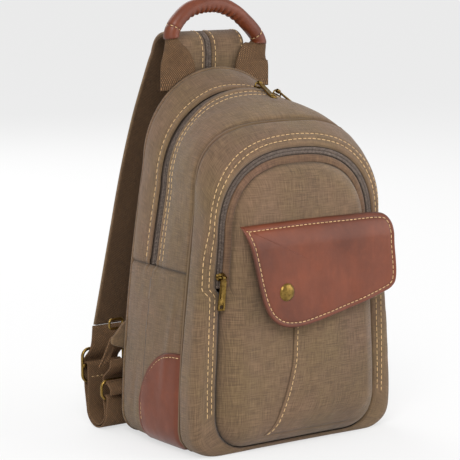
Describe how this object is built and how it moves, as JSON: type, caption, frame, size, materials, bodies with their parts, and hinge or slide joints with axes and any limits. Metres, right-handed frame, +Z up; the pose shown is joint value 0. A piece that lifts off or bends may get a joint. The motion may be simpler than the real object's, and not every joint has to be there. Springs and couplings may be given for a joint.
{
  "type": "sling bag",
  "caption": "Canvas sling bag with two arched zip compartments, a flapped front pocket, a leather-gripped carrying handle and a wide convertible strap.",
  "frame": {"origin": "middle of the flat base of the main compartment", "axes": "+Z up, the front with its flap faces -Y, the padded back and the strap are at +Y, +X is the bag's left when worn and the right seen from the front"},
  "size_m": [0.24, 0.2135, 0.395],
  "materials": {
    "canvas": "washed heavy cotton canvas, taupe, slubbed plain weave",
    "leather": "saddle tan leather, satin, pulled-up grain",
    "webbing": "dark brown cotton webbing, ribbed plain weave",
    "brass": "antiqued brass",
    "zip": "dark taupe nylon coil on woven tape",
    "padding": "canvas over foam padding"
  },
  "bodies": {
    "root": {"strap_pad_left": "canvas", "strap_pad_right": "canvas", "strap_lining_left": "webbing", "strap_lining_right": "webbing", "strap_zip_chain": "zip", "adjuster_webbing_left": "webbing", "adjuster_webbing_right": "webbing", "slide_buckle_left": "brass", "slide_buckle_right": "brass", "ring_left": "brass", "ring_right": "brass", "ring_tab_left": "webbing", "ring_tab_right": "webbing", "ring_tab_spare": "webbing", "strap_ear": "canvas", "ear_ring": "brass", "ear_tail": "webbing", "handle_foot_left": "webbing", "handle_foot_right": "webbing", "rear_gusset": "canvas", "main_zip_chain": "zip", "front_gusset": "canvas", "side_panel_right": "canvas", "side_panel_left": "canvas", "base_panel": "canvas", "back_panel": "padding", "divider_panel": "canvas", "section_gusset": "canvas", "section_facing": "canvas", "front_zip_chain": "zip", "front_panel": "canvas", "pocket_panel": "canvas", "snap_stud": "brass", "corner_patch_right": "leather", "corner_patch_left": "leather"},
    "flap": {"flap": "leather", "flap_lining": "canvas", "snap_cap": "brass", "snap_socket": "brass"},
    "handle": {"handle_webbing": "webbing", "handle_grip": "leather"},
    "main_left_slider": {"main_left_slider": "brass"},
    "main_left_pull": {"main_left_pull": "brass"},
    "main_right_slider": {"main_right_slider": "brass"},
    "main_right_pull": {"main_right_pull": "brass"},
    "front_slider": {"front_slider": "brass"},
    "front_pull": {"front_pull": "brass"},
    "strap_slider": {"strap_slider": "brass"},
    "strap_pull": {"strap_pull": "brass"},
    "ring_spare": {"ring_spare": "brass"}
  },
  "joints": [
    {"name": "flap_hinge", "type": "hinge", "parent": "root", "child": "flap", "pos_m": [0, -0.0928, 0.206], "axis": [-1, 0, 0], "range_deg": [0, 150]},
    {"name": "handle_tilt", "type": "hinge", "parent": "root", "child": "handle", "pos_m": [0, 0.0483, 0.33345], "axis": [1, 0, 0], "range_deg": [0, 70]},
    {"name": "main_left_slider_run", "type": "hinge", "parent": "root", "child": "main_left_slider", "pos_m": [0, 0.01, 0.231], "axis": [0, 1, 0], "range_deg": [-102, 0]},
    {"name": "main_right_slider_run", "type": "hinge", "parent": "root", "child": "main_right_slider", "pos_m": [0, 0.01, 0.231], "axis": [0, 1, 0], "range_deg": [0, 58]},
    {"name": "main_left_pull_swing", "type": "hinge", "parent": "main_left_slider", "child": "main_left_pull", "pos_m": [0.02218, 0.01, 0.31678], "axis": [-0.9681, 0, 0.2504], "range_deg": [0, 36.72]},
    {"name": "main_right_pull_swing", "type": "hinge", "parent": "main_right_slider", "child": "main_right_pull", "pos_m": [0.04363, 0.01, 0.30811], "axis": [-0.8704, 0, 0.4924], "range_deg": [0, 38.28]},
    {"name": "front_slider_run", "type": "slide", "parent": "root", "child": "front_slider", "axis": [0.0784, 0, 0.9969], "range_m": [0, 0.04]},
    {"name": "front_pull_swing", "type": "hinge", "parent": "front_slider", "child": "front_pull", "pos_m": [-0.08466, -0.0807, 0.16], "axis": [-0.9969, 0, 0.0784], "range_deg": [0, 150]},
    {"name": "strap_slider_run", "type": "slide", "parent": "root", "child": "strap_slider", "axis": [0.2288, 0.0278, 0.9731], "range_m": [0, 0.1]},
    {"name": "strap_pull_swing", "type": "hinge", "parent": "strap_slider", "child": "strap_pull", "pos_m": [-0.05952, 0.1055, 0.10973], "axis": [0.9735, -0.0065, -0.2287], "range_deg": [0, 150]},
    {"name": "ring_spare_swing", "type": "hinge", "parent": "root", "child": "ring_spare", "pos_m": [0.078, 0.0615, 0.0472], "axis": [1, 0, 0], "range_deg": [0, 60]}
  ],
  "couplings": [
    {"joint": "main_left_pull_swing", "follows": "main_left_slider_run", "ratio": -0.36},
    {"joint": "main_right_pull_swing", "follows": "main_right_slider_run", "ratio": 0.66}
  ]
}
